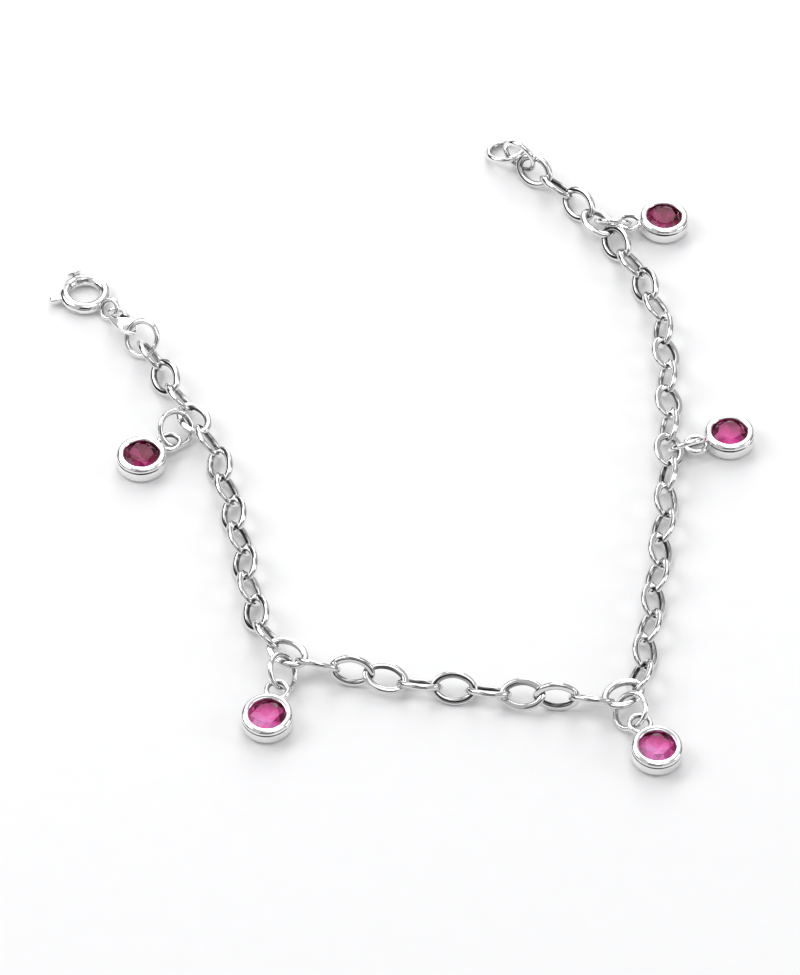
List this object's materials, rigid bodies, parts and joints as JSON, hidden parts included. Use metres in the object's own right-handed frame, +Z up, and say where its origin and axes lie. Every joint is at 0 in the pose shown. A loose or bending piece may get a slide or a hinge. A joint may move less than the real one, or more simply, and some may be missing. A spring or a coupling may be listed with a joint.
{
  "type": "link bracelet",
  "caption": "Open silver cable-link bracelet with round faceted stone charms on jump rings and a spring-ring clasp, lying in a U.",
  "frame": {"origin": "on the surface that the bracelet lies on, under the middle of its box", "axes": "+Z up from the surface, +Y from the bottom of the U towards its open ends, +X to the side of the ring end"},
  "size_m": [0.0868, 0.1062, 0.005],
  "materials": {
    "silver": "polished",
    "ruby_stone": "polished"
  },
  "bodies": {
    "bracelet": {"chain": "silver", "charm_ring_1": "silver", "charm_ring_2": "silver", "charm_ring_3": "silver", "charm_ring_4": "silver", "charm_ring_5": "silver", "bezel_1": "silver", "bezel_2": "silver", "bezel_3": "silver", "bezel_4": "silver", "bezel_5": "silver", "tag_ring": "silver", "tag": "silver", "clasp_body": "silver", "end_ring": "silver", "catch_ring": "silver", "stone_1": "ruby_stone", "stone_2": "ruby_stone", "stone_3": "ruby_stone", "stone_4": "ruby_stone", "stone_5": "ruby_stone"},
    "trigger": {"clasp_bolt": "silver"}
  },
  "joints": [
    {"name": "clasp_trigger", "type": "hinge", "parent": "bracelet", "child": "trigger", "pos_m": [-0.03893, 0.02561, 0.00072], "axis": [0, 0, 1], "range_deg": [-38, 0], "stiffness_Nm_per_rad": 0.0005}
  ]
}
